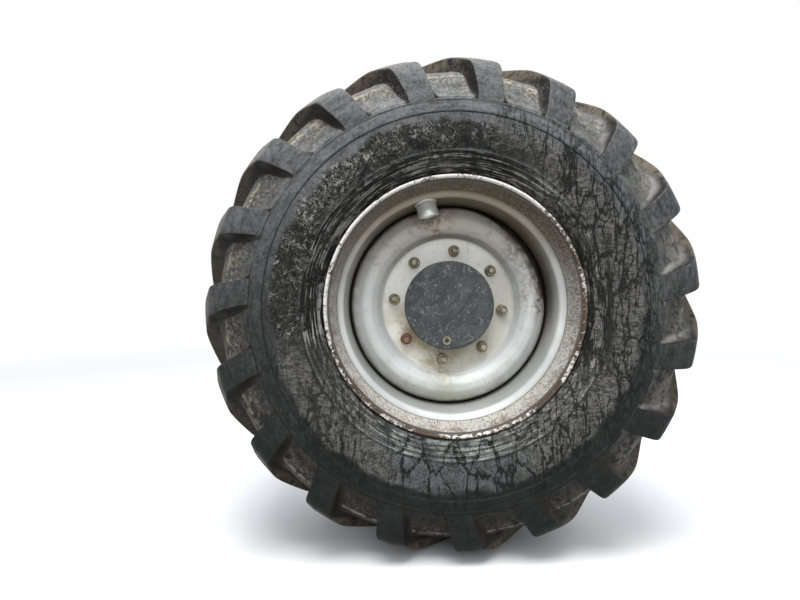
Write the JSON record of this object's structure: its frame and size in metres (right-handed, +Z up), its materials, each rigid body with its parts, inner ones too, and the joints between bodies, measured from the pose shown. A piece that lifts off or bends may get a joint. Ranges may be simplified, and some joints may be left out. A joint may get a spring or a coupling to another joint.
{
  "type": "site dumper wheel on its axle end",
  "caption": "Lugged flotation tyre on a dished steel rim, bolted to a planetary hub that turns on a cast axle arm with a flange for the axle casing.",
  "frame": {"origin": "centre of the axle arm's inboard flange face, on the wheel's axis", "axes": "+Y along the axle from the wheel inboard to the flange, +Z up to the chassis pad, +X towards the vehicle's front for a right-hand wheel"},
  "size_m": [1.172, 1.032, 1.172],
  "materials": {
    "tyre": "dusty, worn rubber with dark wet-looking cracks",
    "wheel_paint": "silver-grey wheel paint, dusty, rust on the flange lip",
    "cover_paint": "dark blue-grey paint, scuffed",
    "axle_paint": "dark grey chassis paint, dusty",
    "plated_steel": "yellow-plated steel, dirty",
    "bare_steel": "machined steel",
    "brass": "dull brass",
    "rubber": "seal rubber"
  },
  "bodies": {
    "axle": {"axle_arm": "axle_paint", "spindle": "bare_steel", "end_bolts": "plated_steel", "arm_seal": "rubber", "breather": "brass", "drain_plug": "plated_steel"},
    "wheel": {"tyre": "tyre", "rim": "wheel_paint", "wheel_disc": "wheel_paint", "valve_guard": "wheel_paint", "valve": "brass", "wheel_nuts": "plated_steel", "wheel_studs": "plated_steel", "hub": "axle_paint", "hub_cover": "cover_paint", "hub_plug": "plated_steel", "hub_seal": "rubber"},
    "shaft": {"half_shaft": "bare_steel"}
  },
  "joints": [
    {"name": "wheel_spin", "type": "hinge", "parent": "axle", "child": "wheel", "pos_m": [0, -0.69, 0], "axis": [0, 1, 0], "continuous": true},
    {"name": "shaft_spin", "type": "hinge", "parent": "axle", "child": "shaft", "pos_m": [0, 0, 0], "axis": [0, 1, 0], "continuous": true}
  ],
  "couplings": [
    {"joint": "shaft_spin", "follows": "wheel_spin", "ratio": 6}
  ]
}
